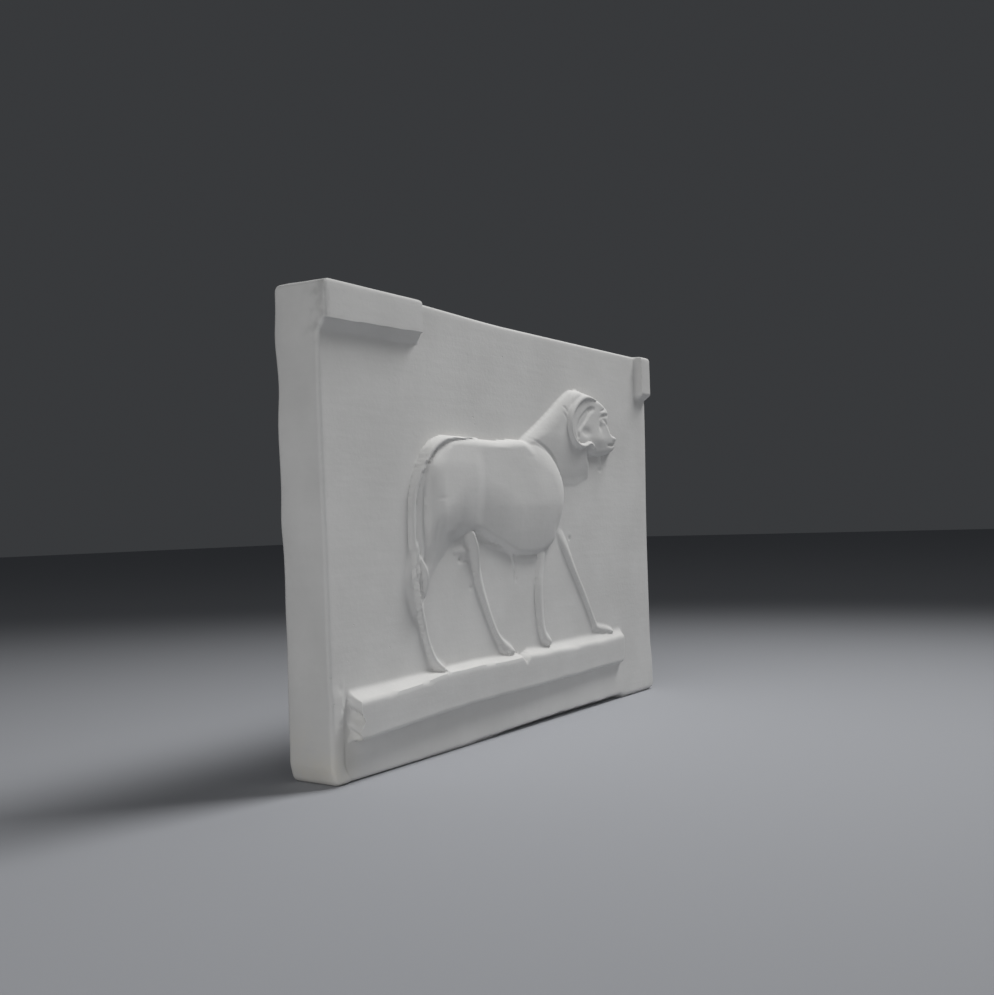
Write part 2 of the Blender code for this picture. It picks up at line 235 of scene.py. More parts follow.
def frameForms(x, z):
    f = framePieces
    barEnd = ease((f["barRight"] - x + f["barEdge"]) / (2.0 * f["barEdge"]))
    below = z - f["barUnderside"] - barLift(x)
    depth, place, half = f["barGroove"]
    bar = np.interp(below, *zip(*f["barSlope"])) - depth * np.exp(-(((below + place) / half) ** 2))
    out, inward = f["blockEdge"]
    blockEnd = ease((x - f["blockLeft"] + out) / (out + inward))
    block = np.clip((z - f["blockUnderside"]) / f["blockDrop"] + 1.0, 0.0, 1.0)
    return bar * barEnd + f["proud"] * ease(block) * blockEnd


# Ground line under the feet: an upright front and a top that runs back into the ground as a cove
groundLine = {
    "left": -93.3,
    "right": 70.5,
    "proud": (5.0, 2.8),        # at its left and right ends
    "frontTop": (
        (-93.3, 22.9), (-79, 23.5), (-71, 23.9), (-62, 24.6), (-54, 25.4), (-46, 25.9), (-36, 25.7),
        (-24, 25.7), (-11, 25.5), (4, 25.5), (20, 25.1), (36, 25.4), (50, 25.2), (70.5, 25.5),
    ),
    "underside": (
        (-93.3, 11.8), (-87, 11.7), (-72, 12.5), (-53.6, 13.4), (-28, 14.0), (-11, 13.9), (10, 14.0),
        (45, 14.5), (70.5, 14.9),
    ),
    "topRipple": (14.0, 0.16, 5),
    "undersideRipple": (11.0, 0.14, 6),
    "coveTop": (26.6, 29.4),        # height at which the top has run back into the ground, at the two ends
    "coveCurve": 1.9,
    "edgeRound": 0.5,
    "edgeDip": 0.25,
    "undercut": (0.6, 1.0, 0.6),        # groove under the front: depth, place below it and half width
    "endWidth": 1.1,        # the slope of the broken left end
    "endRidge": (17.4, 3.0),        # height of the ridge on that end, and how much it slants
    "endHollows": ((2.9, 1.6, 3.3), (-2.8, 1.4, 2.2)),        # place above the ridge, half height and depth
    "frontLean": 0.13,        # share by which the front falls back towards its underside
    # chips in the front's upper edge: x, z, radius across, radius up and depth
    "chips": (
        (-61.0, 24.4, 3.0, 0.7, 0.3), (-28.0, 25.6, 4.0, 0.6, 0.25), (31.0, 25.2, 3.0, 0.6, 0.3),
        (-79.0, 23.3, 1.4, 0.8, 0.4),
    ),
    "notch": (-4.6, 2.6, 2.7, 2.4),        # its place, half width, how far it reaches down and its depth
}


def alongGround(x, name):
    t = np.clip((x - groundLine["left"]) / (groundLine["right"] - groundLine["left"]), 0.0, 1.0)
    return between(*groundLine[name], t)


def groundTop(x):
    return np.interp(x, *zip(*groundLine["frontTop"])) + ripples(x, 0.0, *groundLine["topRipple"])


def groundUnderside(x):
    return np.interp(x, *zip(*groundLine["underside"])) + ripples(x, 0.0, *groundLine["undersideRipple"])


def brokenEnd(x, z):
    # how far the ground line's left end is broken back: two hollows with a slanting ridge between them
    g = groundLine
    across = np.clip((x - g["left"]) / g["endWidth"], 0.0, 1.0)
    slant = z - g["endRidge"][0] + g["endRidge"][1] * across
    hollow = sum(depth * np.exp(-((slant - place) / half) ** 2) for place, half, depth in g["endHollows"])
    hollow = hollow * (0.5 + 2.0 * across * (1.0 - across)) - 0.4
    return hollow * ease((x - g["left"] + 2.0) / 2.0) * ease((g["left"] + 9.0 - x) / 7.5)


def groundForm(x, z):
    g = groundLine
    above = z - groundTop(x)
    proud = alongGround(x, "proud")
    top = proud * np.clip(1.0 - above / (alongGround(x, "coveTop") - groundTop(x)), 0.0, 1.0) ** g["coveCurve"]
    top = top - g["edgeDip"] * np.exp(-((above / g["edgeRound"]) ** 2))
    leftEnd = np.clip((x - g["left"]) / g["endWidth"], 0.0, 1.0)
    rightEnd = ease((g["right"] - x + 0.8 - 0.8 * ease((20.0 - z) / 5.0)) / 2.4)
    lean = 1.0 - g["frontLean"] * ease(-above / 12.0)
    below = z - groundUnderside(x)
    place, half, reach, depth = g["notch"]
    notch = depth * np.clip(1.0 - np.abs(x - place) / half + above / reach, 0.0, 1.0)
    whole = top * lean * leftEnd * rightEnd * ease((below + 0.4) / 0.9)
    whole = np.maximum(whole - domes(x, z, g["chips"]) - notch, 0.0)
    deep, place, half = g["undercut"]
    return whole - deep * np.exp(-(((below + place) / half) ** 2)) * leftEnd * rightEnd


def plainForms(x, z):
    s = slab
    sunk = ease((s["sunkRight"] - x + 1.2) / 2.4) * ease((groundUnderside(x) - z + 0.8) / 1.2)
    stripRight = s["stripRight"] + 3.0 * ease((6.0 - z) / 6.0)
    strip = ease((stripRight - x + 0.6) / 2.4) * ease((s["stripTop"] + 4.0 - z) / 8.0)
    plain = s["stripProud"] * strip - s["sunkDepth"] * sunk * (1.0 - strip) - domes(x, z, s["dents"])
    return plain + ripples(x, z, *s["ripple"]) + frameForms(x, z) + groundForm(x, z)


# The ram's main forms, each the outline where it leaves what lies behind it
ram = {
    "bodyProud": 4.7,
    "backFall": 0.7,        # how much lower the relief is along the back than across the middle
    "bellyLine": (
        (-58, 46), (-54, 52), (-48, 59), (-41, 66), (-34, 68), (-28, 68), (-16, 64), (-6, 60.5), (8, 60),
        (18, 62), (30, 66),
    ),
    "bellyDepth": 20.0,
    # how steep the body stands at its edge, low down and high up, at the chest and at the rump
    "chestLip": (0.8, 2.3),
    "rumpLip": (1.5, 2.8),
    # how wide its edge is rounded, and how much more at the chest, thigh and rump, and less at the belly
    "bodyRim": (3.0, 5.0, 8.0, 5.0, 1.2),
    "haunch": 0.7,
    "neckProud": 2.9,
    "neckFoot": 0.9,
    "headProud": 3.4,
    "headFall": 0.3,
    "headRim": 2.4,
    "body": (
        (-58.4, 54), (-58.2, 64), (-58, 78), (-56.4, 89.5), (-51.6, 96.3), (-45, 100), (-33, 100.6),
        (-18, 100.4), (-7, 101.2), (-1.4, 101.4), (3.7, 101), (8.8, 99.9), (14.1, 98), (18.5, 95.6),
        (21.6, 92.8), (24.2, 89.2), (25.9, 84.8), (26.4, 80), (25.9, 75.4), (24.4, 71.4), (21.4, 67.6),
        (17.6, 63.6), (8, 60.8), (-1.2, 60.8), (-6.3, 61.3), (-11.2, 63.2), (-16.2, 65), (-21.2, 66.6),
        (-28, 69.2), (-35, 68.8), (-41.3, 66), (-45.5, 62.1), (-48.3, 59.5), (-51.7, 55.7), (-54.1, 52.7),
        (-56.7, 49.8),
    ),
    # fine cut between chest and neck
    "chestLine": (
        (3.0, 102.4, 0.4, 0.1), (9.2, 100.6, 0.5, 0.25), (14.6, 98.6, 0.6, 0.4), (19.0, 96.1, 0.6, 0.4),
        (22.2, 93.0, 0.6, 0.45), (24.8, 89.4, 0.6, 0.45), (26.5, 84.9, 0.6, 0.35), (27.0, 80.2, 0.5, 0.2),
    ),
    "neck": (
        (-4, 98), (1, 102.2), (10, 107.2), (20, 113.2), (30, 119.6), (36, 122), (44, 121), (48, 110),
        (46.8, 98), (47.8, 95.2), (48.6, 92), (49.2, 88.6), (48.4, 84.6), (45.6, 81.4), (40, 79), (32, 78),
        (22, 77), (6, 76), (-6, 84),
    ),
    "head": (
        (33, 119), (38, 122), (46, 121.4), (50.4, 120.2), (54, 119.8), (57.3, 118.6), (60, 117.2),
        (61.6, 115.4), (62.4, 113.8), (61.6, 111.6), (62.2, 109.3), (63.4, 107.5), (65.8, 106.6),
        (68.2, 105.2), (67.5, 103.6), (67, 102.4), (67.2, 101), (65.4, 99.2), (60.5, 98), (54, 97.4),
        (48, 97.8), (38, 99.4), (31.5, 105), (30, 112),
    ),
    "swellings": (
        (8, 84, 15, 14, 0.4), (-29, 76, 7, 9, -0.25), (-3, 84, 9, 14, -0.15), (-44, 70.4, 5, 0.7, 0.15),
        (-52, 80.6, 3, 0.5, -0.15), (-18, 98, 7, 0.5, 0.12), (2, 95.4, 5, 0.4, -0.1),
        (-57.6, 57.4, 3.4, 3.6, 1.3),
    ),
}

# Limbs and small forms: x, z, half width and height at each station
limbs = {
    "nearHindLeg": (
        (-57.4, 58, 2.4, 1.6), (-59.0, 52, 2.2, 1.9), (-59.6, 47, 1.6, 1.8), (-58.2, 41, 1.3, 1.6),
        (-56.8, 36.6, 1.2, 1.6), (-55.1, 32.6, 1.3, 1.7), (-53.4, 29.4, 1.5, 2.3), (-51.4, 27.4, 1.5, 3.2),
        (-49.6, 26.0, 1.0, 4.0),
    ),
    "farHindLeg": (
        (-31.0, 67, 1.5, 1.2), (-29.6, 62, 1.9, 1.4), (-28.5, 56, 2.0, 1.5), (-26.8, 50.4, 1.9, 1.4),
        (-24.2, 45, 1.5, 1.3), (-21.7, 40, 1.3, 1.3), (-18.7, 35, 1.3, 1.3), (-15.7, 31.8, 1.4, 1.4),
        (-12.6, 29.6, 1.7, 1.7), (-9.9, 28.0, 1.3, 2.1),
    ),
    "nearFrontLeg": (
        (12.6, 66, 2.8, 1.2), (11.8, 60.5, 2.5, 1.5), (10.6, 55, 2.2, 1.5), (9.5, 49.4, 2.4, 1.7),
        (9.4, 44.5, 2.4, 1.6), (9.7, 40, 2.2, 1.5), (10.3, 35, 2.1, 1.5), (11.7, 31.2, 2.1, 1.6),
        (14.4, 28.8, 1.7, 2.0),
    ),
    "farFrontLeg": (
        (25.2, 68, 2.4, 0.4), (27.6, 64.2, 2.4, 1.0), (30.4, 60, 2.0, 1.2), (33.6, 55, 1.6, 1.2),
        (37.1, 50, 1.4, 1.2), (40.7, 45, 1.4, 1.2), (44.0, 40, 1.3, 1.2), (47.1, 35, 1.3, 1.2),
        (49.4, 31.6, 1.4, 1.2),
    ),
}
limbShape = {
    "lean": -0.2,
    "flat": 1.7,
    "swelling": (4.6, 0.22),        # half width, and height as a share of the leg's
    "crease": (1.2, 0.8, 0.5),        # place in half widths of the leg, half width and depth
}
smallForms = {
    # hooves, hock, knee, and the forms under the belly and in the groin
    "farFrontHoof": (
        (48.8, 30.9, 1.9, 1.1), (53.0, 29.8, 2.3, 1.0), (58.0, 28.8, 2.3, 1.2), (62.0, 27.8, 1.8, 1.6),
    ),
    "farHindHeel": ((-16.4, 30.2, 1.2, 1.0), (-14.4, 28.4, 1.4, 1.3), (-11.6, 27.4, 1.3, 2.0)),
    "hock": (
        (-60.6, 62.0, 2.2, 2.4), (-59.3, 58.4, 3.2, 3.5), (-58.5, 54.8, 3.0, 3.3), (-58.9, 50.8, 2.0, 2.4),
    ),
    "knee": (
        (-32.6, 69.0, 2.6, 2.6), (-31.0, 65.0, 3.2, 2.8), (-29.6, 60.6, 2.6, 2.2), (-28.8, 56.0, 1.8, 1.6),
    ),
    "underBelly": ((-8.0, 60.6, 2.6, 0.45), (0.0, 59.4, 3.0, 0.5), (8.0, 59.4, 2.6, 0.5)),
    "groin": ((-40.6, 63.6, 1.8, 0.5), (-36.6, 63.6, 2.6, 0.5), (-32.0, 63.0, 2.2, 0.6)),
}
tail = {
    "cord": (
        (-27, 100.4, 0.3, 1.2), (-32, 100.3, 0.6, 2.4), (-37.5, 100.0, 0.9, 3.3), (-43, 99.6, 1.2, 3.8),
        (-48.5, 98.7, 1.5, 3.9), (-53.4, 96.0, 1.6, 3.7), (-56.8, 92.0, 1.5, 3.2), (-59.2, 88.0, 1.5, 2.6),
        (-60.8, 84.4, 1.5, 2.1), (-61.8, 80.6, 1.5, 1.8), (-62.2, 76, 1.5, 1.7), (-62.3, 70, 1.5, 1.7),
        (-62.2, 65, 1.5, 1.9),
    ),
    "tuft": (
        (-61.8, 66, 1.5, 2.2), (-61.8, 61, 2.0, 2.6), (-62.0, 56, 2.5, 2.9), (-61.8, 52, 2.3, 2.8),
        (-61.0, 48, 1.6, 2.4), (-60.0, 45, 1.0, 1.8), (-59.4, 42.4, 0.5, 1.0),
    ),
    # web of plaster between the cord and the rump
    "web": (
        (-55.6, 91, 2.6, 2.3), (-57.8, 84, 4.4, 1.9), (-58.6, 76, 5.2, 1.6), (-58.8, 68, 5.0, 1.7),
        (-59.2, 62, 3.0, 1.7),
    ),
    "fringe": (
        (-63.0, 63, 2.6, 0.9), (-63.6, 57, 4.0, 1.2), (-63.2, 51.6, 3.4, 1.1), (-61.8, 45.5, 1.8, 0.7),
    ),
    "groove": (
        (-45.6, 97.8, 0.5, 0.05), (-50.6, 95.6, 0.8, 0.3), (-54.6, 92.0, 1.0, 0.5), (-56.3, 88.4, 0.9, 0.4),
        (-57.6, 85.2, 0.7, 0.2),
    ),
    "twists": (
        ((-60.0, 90.2, 0.5, 0.2), (-57.4, 91.4, 0.7, 0.45), (-55.4, 92.0, 0.5, 0.2)),
        ((-60.0, 87.4, 0.4, 0.2), (-58.0, 88.8, 0.6, 0.4)),
    ),
    # hair lines in the tuft, each from its top to its tip
    "hairs": (
        (
            (-64.2, 61.0, 0.5, 0.3), (-64.1, 57.6, 0.8, 0.9), (-63.6, 53.8, 0.9, 1.1),
            (-62.8, 50.2, 0.8, 1.0), (-61.9, 47.2, 0.7, 0.8), (-60.9, 44.6, 0.5, 0.4),
        ),
        (
            (-60.6, 63.4, 0.5, 0.5), (-60.8, 59.4, 0.7, 0.9), (-61.2, 55.6, 0.7, 1.0),
            (-61.0, 51.8, 0.7, 0.9), (-60.4, 48.6, 0.5, 0.5),
        ),
        ((-63.0, 59.6, 0.4, 0.4), (-62.6, 56.8, 0.6, 0.8), (-62.1, 54.0, 0.6, 0.8), (-61.7, 51.4, 0.4, 0.4)),
        ((-62.4, 64.4, 0.4, 0.3), (-62.2, 61.0, 0.5, 0.6), (-62.7, 58.4, 0.4, 0.3)),
        ((-65.8, 56.4, 0.5, 0.3), (-64.4, 55.0, 0.7, 0.6), (-63.0, 53.0, 0.5, 0.4)),
    ),
    # creases down the rump beside the tail
    "creases": (
        (
            (-56.4, 86.0, 0.8, 0.3), (-57.2, 80.0, 1.1, 0.6), (-57.4, 74.0, 1.2, 0.7),
            (-57.0, 68.0, 0.9, 0.5), (-57.4, 64.6, 0.5, 0.2),
        ),
        ((-53.4, 74.0, 0.6, 0.2), (-53.8, 69.0, 0.8, 0.3), (-53.4, 64.0, 0.6, 0.15)),
    ),
}
face = {
    "horn": (
        (51.0, 119.0, 0.9, 3.6), (47.6, 119.5, 1.3, 3.9), (43.4, 119.6, 1.7, 4.2), (39.2, 118.6, 2.0, 4.3),
        (35.2, 116.3, 2.2, 4.4), (32.0, 113.0, 2.2, 4.4), (30.6, 109.3, 2.1, 4.4), (31.3, 105.6, 1.9, 4.3),
        (33.4, 102.7, 1.7, 4.3), (36.6, 101.1, 1.5, 4.2), (40.6, 100.7, 1.4, 4.2), (44.4, 101.8, 1.3, 4.2),
        (47.4, 101.4, 1.1, 3.9), (49.4, 100.0, 0.8, 3.5),
    ),
    "ear": (
        (37.4, 105.6, 1.4, 1.9), (39.6, 107.6, 2.1, 2.3), (42.4, 109.5, 2.4, 2.5), (45.4, 111.6, 2.1, 2.7),
        (47.4, 113.2, 1.4, 2.8),
    ),
    "hollow": (
        (49.0, 115.6, 1.0, 0.3), (45.8, 114.8, 1.8, 0.75), (42.4, 112.6, 2.3, 1.0), (38.8, 109.8, 2.3, 1.1),
        (36.2, 107.0, 1.7, 0.9), (36.4, 104.4, 1.3, 0.6),
    ),
    # carved lines: brow, the fold over it, lower lid, nostril, mouth
    "lines": (
        (
            (53.2, 112.2, 0.6, 0.15), (55.6, 113.1, 0.8, 0.35), (58.6, 113.6, 0.8, 0.35),
            (61.6, 113.7, 0.6, 0.2),
        ),
        ((53.8, 114.9, 0.5, 0.2), (56.2, 115.5, 0.6, 0.4), (58.5, 116.4, 0.5, 0.3)),
        (
            (55.6, 112.0, 0.5, 0.2), (58.0, 111.1, 0.7, 0.35), (59.5, 109.8, 0.7, 0.35),
            (60.8, 108.2, 0.5, 0.15),
        ),
        ((62.2, 106.4, 0.4, 0.2), (64.4, 106.0, 0.5, 0.5), (66.4, 106.0, 0.4, 0.3)),
        ((59.4, 101.8, 0.5, 0.1), (61.6, 102.0, 0.7, 0.5), (64.2, 102.1, 0.7, 0.7), (66.4, 102.1, 0.5, 0.5)),
    ),
    "domes": (
        (42.8, 106.2, 4.2, 2.1, -0.7), (54.2, 109.0, 1.7, 2.1, -0.5), (57.2, 110.4, 1.8, 0.9, 0.15),
        (53.4, 103.8, 5.0, 3.4, 0.3), (65.2, 104.6, 2.0, 1.1, 0.5), (63.4, 100.5, 2.6, 0.9, 0.3),
        (57.0, 114.6, 4.0, 0.8, 0.3),
    ),
    "beard": ((58.2, 98.0, 2.2, 0.6), (58.6, 95.6, 2.3, 0.4), (58.4, 93.0, 2.1, 0.2)),
    "beardMark": ((56.4, 92.2, 0.7, 0.15), (58.2, 92.0, 0.9, 0.3), (59.8, 92.2, 0.6, 0.15)),
}
# how softly each form runs into what it lies on
blends = {
    "neck": 0.2,
    "head": 0.3,
    "ear": 0.4,
    "horn": 0.3,
    "beard": 0.3,
    "web": 1.0,
    "swelling": 0.4,
    "leg": 0.25,
    "smallForm": 0.3,
    "skinRoll": 0.2,
    "tuft": 0.8,
    "fringe": 0.4,
    "tail": 0.3,
    "figure": 0.5,
}
marks = {
    # fold of skin under the belly: a fine crease with a low roll above and beside it
    "skinCrease": (
        (-23.3, 64.2, 0.6, 0.2), (-20.3, 63.2, 0.7, 0.55), (-14.8, 62.5, 0.7, 0.65), (-11.6, 62.0, 0.7, 0.7),
        (-8.6, 60.4, 0.7, 0.7), (-7.6, 57.8, 0.7, 0.65), (-7.0, 55.0, 0.7, 0.6), (-6.8, 52.5, 0.7, 0.7),
    ),
    "skinRoll": (
        (-24, 65.6, 1.2, 0.4), (-18, 64.4, 1.3, 0.6), (-13, 63.6, 1.3, 0.6), (-8.2, 62.0, 1.2, 0.6),
        (-6.6, 59.0, 1.0, 0.55), (-6.0, 56.0, 0.9, 0.5), (-5.8, 53.4, 0.8, 0.35),
    ),
    "neckWrinkles": (
        ((27.4, 115.2, 0.4, 0.3), (28.6, 114.6, 0.5, 0.4), (29.4, 113.2, 0.4, 0.3)),
        ((26.8, 112.6, 0.4, 0.2), (28.2, 111.6, 0.5, 0.3), (29.0, 110.2, 0.4, 0.2)),
    ),
    "groundPits": (
        (-37.2, 60.6, 1.5, 1.1, 0.8), (-34.6, 60.0, 1.6, 0.6, 0.4), (32.6, 65.7, 1.0, 0.9, 0.5),
        (-31.8, 51.3, 1.3, 0.9, 0.35), (-4.8, 52.3, 0.8, 0.6, 0.3),
    ),
}


def bodyForm(x, z):
    chest = ease((x + 3.0) / 10.0) * ease((z - 62.0) / 12.0)
    thigh = ease((-34.0 - x) / 10.0) * ease((84.0 - z) / 26.0)
    rump = ease((-44.0 - x) / 10.0) * ease((z - 60.0) / 8.0)
    belly = ease((x + 40.0) / 12.0)
    above = (z - np.interp(x, *zip(*ram["bellyLine"]))) / (ram["bellyDepth"] + 14.0 * thigh)
    crown = ram["bodyProud"] - ram["backFall"] * np.clip((z - 78.0) / 22.0, 0.0, 1.0)
    height = crown * (1.0 - (0.64 + 0.16 * thigh) * np.clip(1.0 - above, 0.0, 1.0) ** (1.7 - 0.4 * thigh))
    lip = chest * between(*ram["chestLip"], ease((z - 70.0) / 16.0))
    lip = lip + rump * between(*ram["rumpLip"], ease((z - 80.0) / 12.0))
    plain, chestRim, thighRim, rumpRim, bellyRim = ram["bodyRim"]
    rim = plain + chestRim * chest + thighRim * thigh + rumpRim * rump * (1.0 - thigh)
    rim = rim - bellyRim * belly * ease((74.0 - z) / 8.0)
    depth = depthInside(x, z, ram["body"])
    gentle = np.maximum(np.maximum(chest, thigh), rump)
    body = lip * ease(depth / 0.6) + (height - lip) * rounded(depth, rim, 1.0 - gentle)
    haunch = ram["haunch"] * ease((-27.0 - x) / 7.0) * ease((z - 64.0) / 12.0) * ease((100.0 - z) / 10.0)
    return body + ease(body / 3.0) * (domes(x, z, ram["swellings"]) + haunch)


def neckForm(x, z):
    low = ease((96.0 - z) / 12.0)
    throat = ease((x - 42.0) / 6.0) * ease((z - 86.0) / 6.0)
    height = between(ram["neckFoot"], ram["neckProud"], ease((z - 85.0) / 20.0))
    height = height * ease((z - 80.5 - 2.5 * ease((x - 36.0) / 10.0)) / 12.0)
    rim = 3.0 + 2.6 * ease((z - 98.0) / 8.0) * ease((44.0 - x) / 10.0) + 5.0 * low * (1.0 - throat)
    neck = height * rounded(depthInside(x, z, ram["neck"]), rim, 0.9 * (1.0 - low * (1.0 - throat)))
    for mark in marks["neckWrinkles"]:
        neck = neck - ridge(x, z, mark, soft=True) * ease(neck)
    return neck


def headForm(x, z):
    height = ram["headProud"] * (1.0 - ram["headFall"] * ease((105.0 - z) / 8.0))
    head = height * rounded(depthInside(x, z, ram["head"]), ram["headRim"], 1.0)
    carved = ridge(x, z, face["hollow"], soft=True) - domes(x, z, face["domes"])
    for mark in face["lines"]:
        carved = carved + ridge(x, z, mark, soft=True)
    head = head - carved * ease(head / 2.0)
    head = softMax(head, ridge(x, z, face["ear"], soft=True), blends["ear"])
    head = softMax(head, ridge(x, z, face["horn"]), blends["horn"])
    return softMax(head, ridge(x, z, face["beard"], soft=True), blends["beard"])


def tailForm(x, z):
    cord = ridge(x, z, tail["cord"], lean=-0.3)
    for mark in tail["twists"]:
        cord = cord - ridge(x, z, mark, soft=True) * ease(cord)
    tuft = ridge(x, z, tail["tuft"], lean=-0.2)
    for strand in tail["hairs"]:
        tuft = tuft - ridge(x, z, strand, soft=True) * ease(tuft)
    fringe = ridge(x, z, tail["fringe"], soft=True)
    return softMax(softMax(cord, tuft, blends["tuft"]), fringe, blends["fringe"])


def ramForm(x, z):
    body = bodyForm(x, z)
    for mark in (tail["groove"],) + tail["creases"]:
        body = body - ridge(x, z, mark, soft=True) * ease(body)
    chestLine = ridge(x, z, ram["chestLine"], soft=True)
    found = softMax(body, neckForm(x, z), blends["neck"]) - chestLine
    found = softMax(found, headForm(x, z), blends["head"])
    found = softMax(found, ridge(x, z, tail["web"], soft=True), blends["web"])
    for stations in limbs.values():
        # each leg stands on a low, wide swelling of the ground, with a crease down its left side
        wide, share = limbShape["swelling"]
        spread = [(px, pz, wide, share * height) for px, pz, half, height in stations]
        aside, narrow, deep = limbShape["crease"]
        crease = [(px - aside * half, pz, narrow, deep) for px, pz, half, height in stations[1:]]
        swollen = softMax(found, ridge(x, z, spread, soft=True), blends["swelling"])
        found = swollen - ridge(x, z, crease, soft=True) * ease(1.6 - found)
        leg = ridge(x, z, stations, lean=limbShape["lean"], flat=limbShape["flat"])
        found = softMax(found, leg, blends["leg"])
    for stations in smallForms.values():
        found = softMax(found, ridge(x, z, stations, soft=True), blends["smallForm"])
    found = softMax(found, ridge(x, z, marks["skinRoll"], soft=True), blends["skinRoll"])
    found = found - ridge(x, z, marks["skinCrease"], soft=True)
    found = softMax(found, tailForm(x, z), blends["tail"]) - domes(x, z, marks["groundPits"])
    return found - ridge(x, z, face["beardMark"], soft=True)


def relief(x, z):
    plain = plainForms(x, z)
    figure = ramForm(x, z)
    # where the figure cuts below 0, such as in a pit, it deepens the plain ground
    return np.where(figure > 0.02, softMax(figure, plain, blends["figure"]), plain) + np.minimum(figure, 0.0)


def leftEdge(v):
    out, top, foot = slab["leftBow"]
    return -slab["width"] / 2 - out - top * ease((v - 30.0) / 90.0) + foot * ease((6.0 - v) / 6.0)


def rightEdge(v):
    lying, top, foot = slab["rightBow"]
    return slab["width"] / 2 - lying + top * ease((v - 60.0) / 60.0) + foot * ease((20.0 - v) / 12.0)


def footEdge(x):
    # how far the front edge of the underside is worn up from the floor
    worn = ripples(x, 0.0, *slab["footRipple"]) * ease((x + 70.0) / 10.0) * ease((76.0 - x) / 8.0)
    lift = between(slab["footLift"][0], slab["footLift"][2], ease((x + 75.0) / 110.0))
    return lift - (slab["footLift"][2] - slab["footLift"][1]) * ease((x - 68.0) / 6.0) + worn


def footBack(x):
    # how far behind the front rim the slab starts to stand on the floor
    low, high = slab["footLift"][1:]
    return between(*slab["footBack"], ease((footEdge(x) - low) / (high - low)))


def gridLines(length, stops, steps, creases):
    # places across the slab: close in the figure, wider outside it, closest at the rounded edges
    rounding = slab["edgeRound"]
    turn = np.linspace(0.0, np.pi / 2, slab["roundSteps"])[:-1]
    edge = rounding * (1.0 - np.cos(turn))
    stops = (rounding,) + stops + (length - rounding,)
    inner = []
    for start, end, step in zip(stops[:-1], stops[1:], steps):
        inner.append(np.linspace(start, end, int(round((end - start) / step)), endpoint=False))
    inner = np.append(np.concatenate(inner), length - rounding)
    for crease in creases:
        inner[np.argmin(np.abs(inner - crease))] = crease
    return np.concatenate([edge, inner, length - edge[::-1]])


def roundedPlan(u, v):
    radius = slab["cornerRound"]
    across = np.clip(radius - np.minimum(u, slab["width"] - u), 0.0, None)
    upward = np.clip(radius - np.minimum(v, slab["height"] - v), 0.0, None)
    pull = 1.0 / (2.0 * radius**2)
    shiftU = across * (1.0 - np.sqrt(1.0 - pull * upward**2))
    shiftV = upward * (1.0 - np.sqrt(1.0 - pull * across**2))
    movedU = u + np.where(u < slab["width"] / 2, shiftU, -shiftU)
    return movedU, v + np.where(v < slab["height"] / 2, shiftV, -shiftV)


def frontPoints(u, v):
    rounding = slab["edgeRound"]
    across = np.clip(rounding - np.minimum(u, slab["width"] - u), 0.0, None)
    upward = np.clip(rounding - np.minimum(v, slab["height"] - v), 0.0, None)
    drop = rounding - np.sqrt(np.clip(rounding**2 - across**2 - upward**2, 0.0, None))
    # the rim is sharper where the bar meets the left side
    drop = drop * (1.0 - 0.5 * ease((v - 129.0) / 2.5) * ease((44.0 - u) / 2.0))
    u, v = roundedPlan(u, v)
    x = between(leftEdge(v), rightEdge(v), u / slab["width"])
    # the rows of the grid follow the ground line's two edges, the bar's underside and the uneven top
    low = groundUnderside(x) - groundUnderside(groundLine["left"])
    high = groundTop(x) - groundTop(groundLine["left"])
    tilt = between(low, high, ease((v - 12.4) / 10.0)) * ease((v - 2.0) / 8.0) * ease((48.0 - v) / 18.0)
    follow = barLift(x) * ease((6.5 - np.abs(v - framePieces["barUnderside"] + 1.7)) / 4.3)
    follow += slab["topRise"][0] * ease((-5.0 - x) / 60.0) * np.clip((v - 131.6) / 8.0, 0.0, 1.0)
    z = v + tilt + follow + footEdge(x) * np.clip(1.0 - v / slab["footReach"], 0.0, 1.0)
    return x + brokenEnd(x, z), z, relief(x, z) - drop


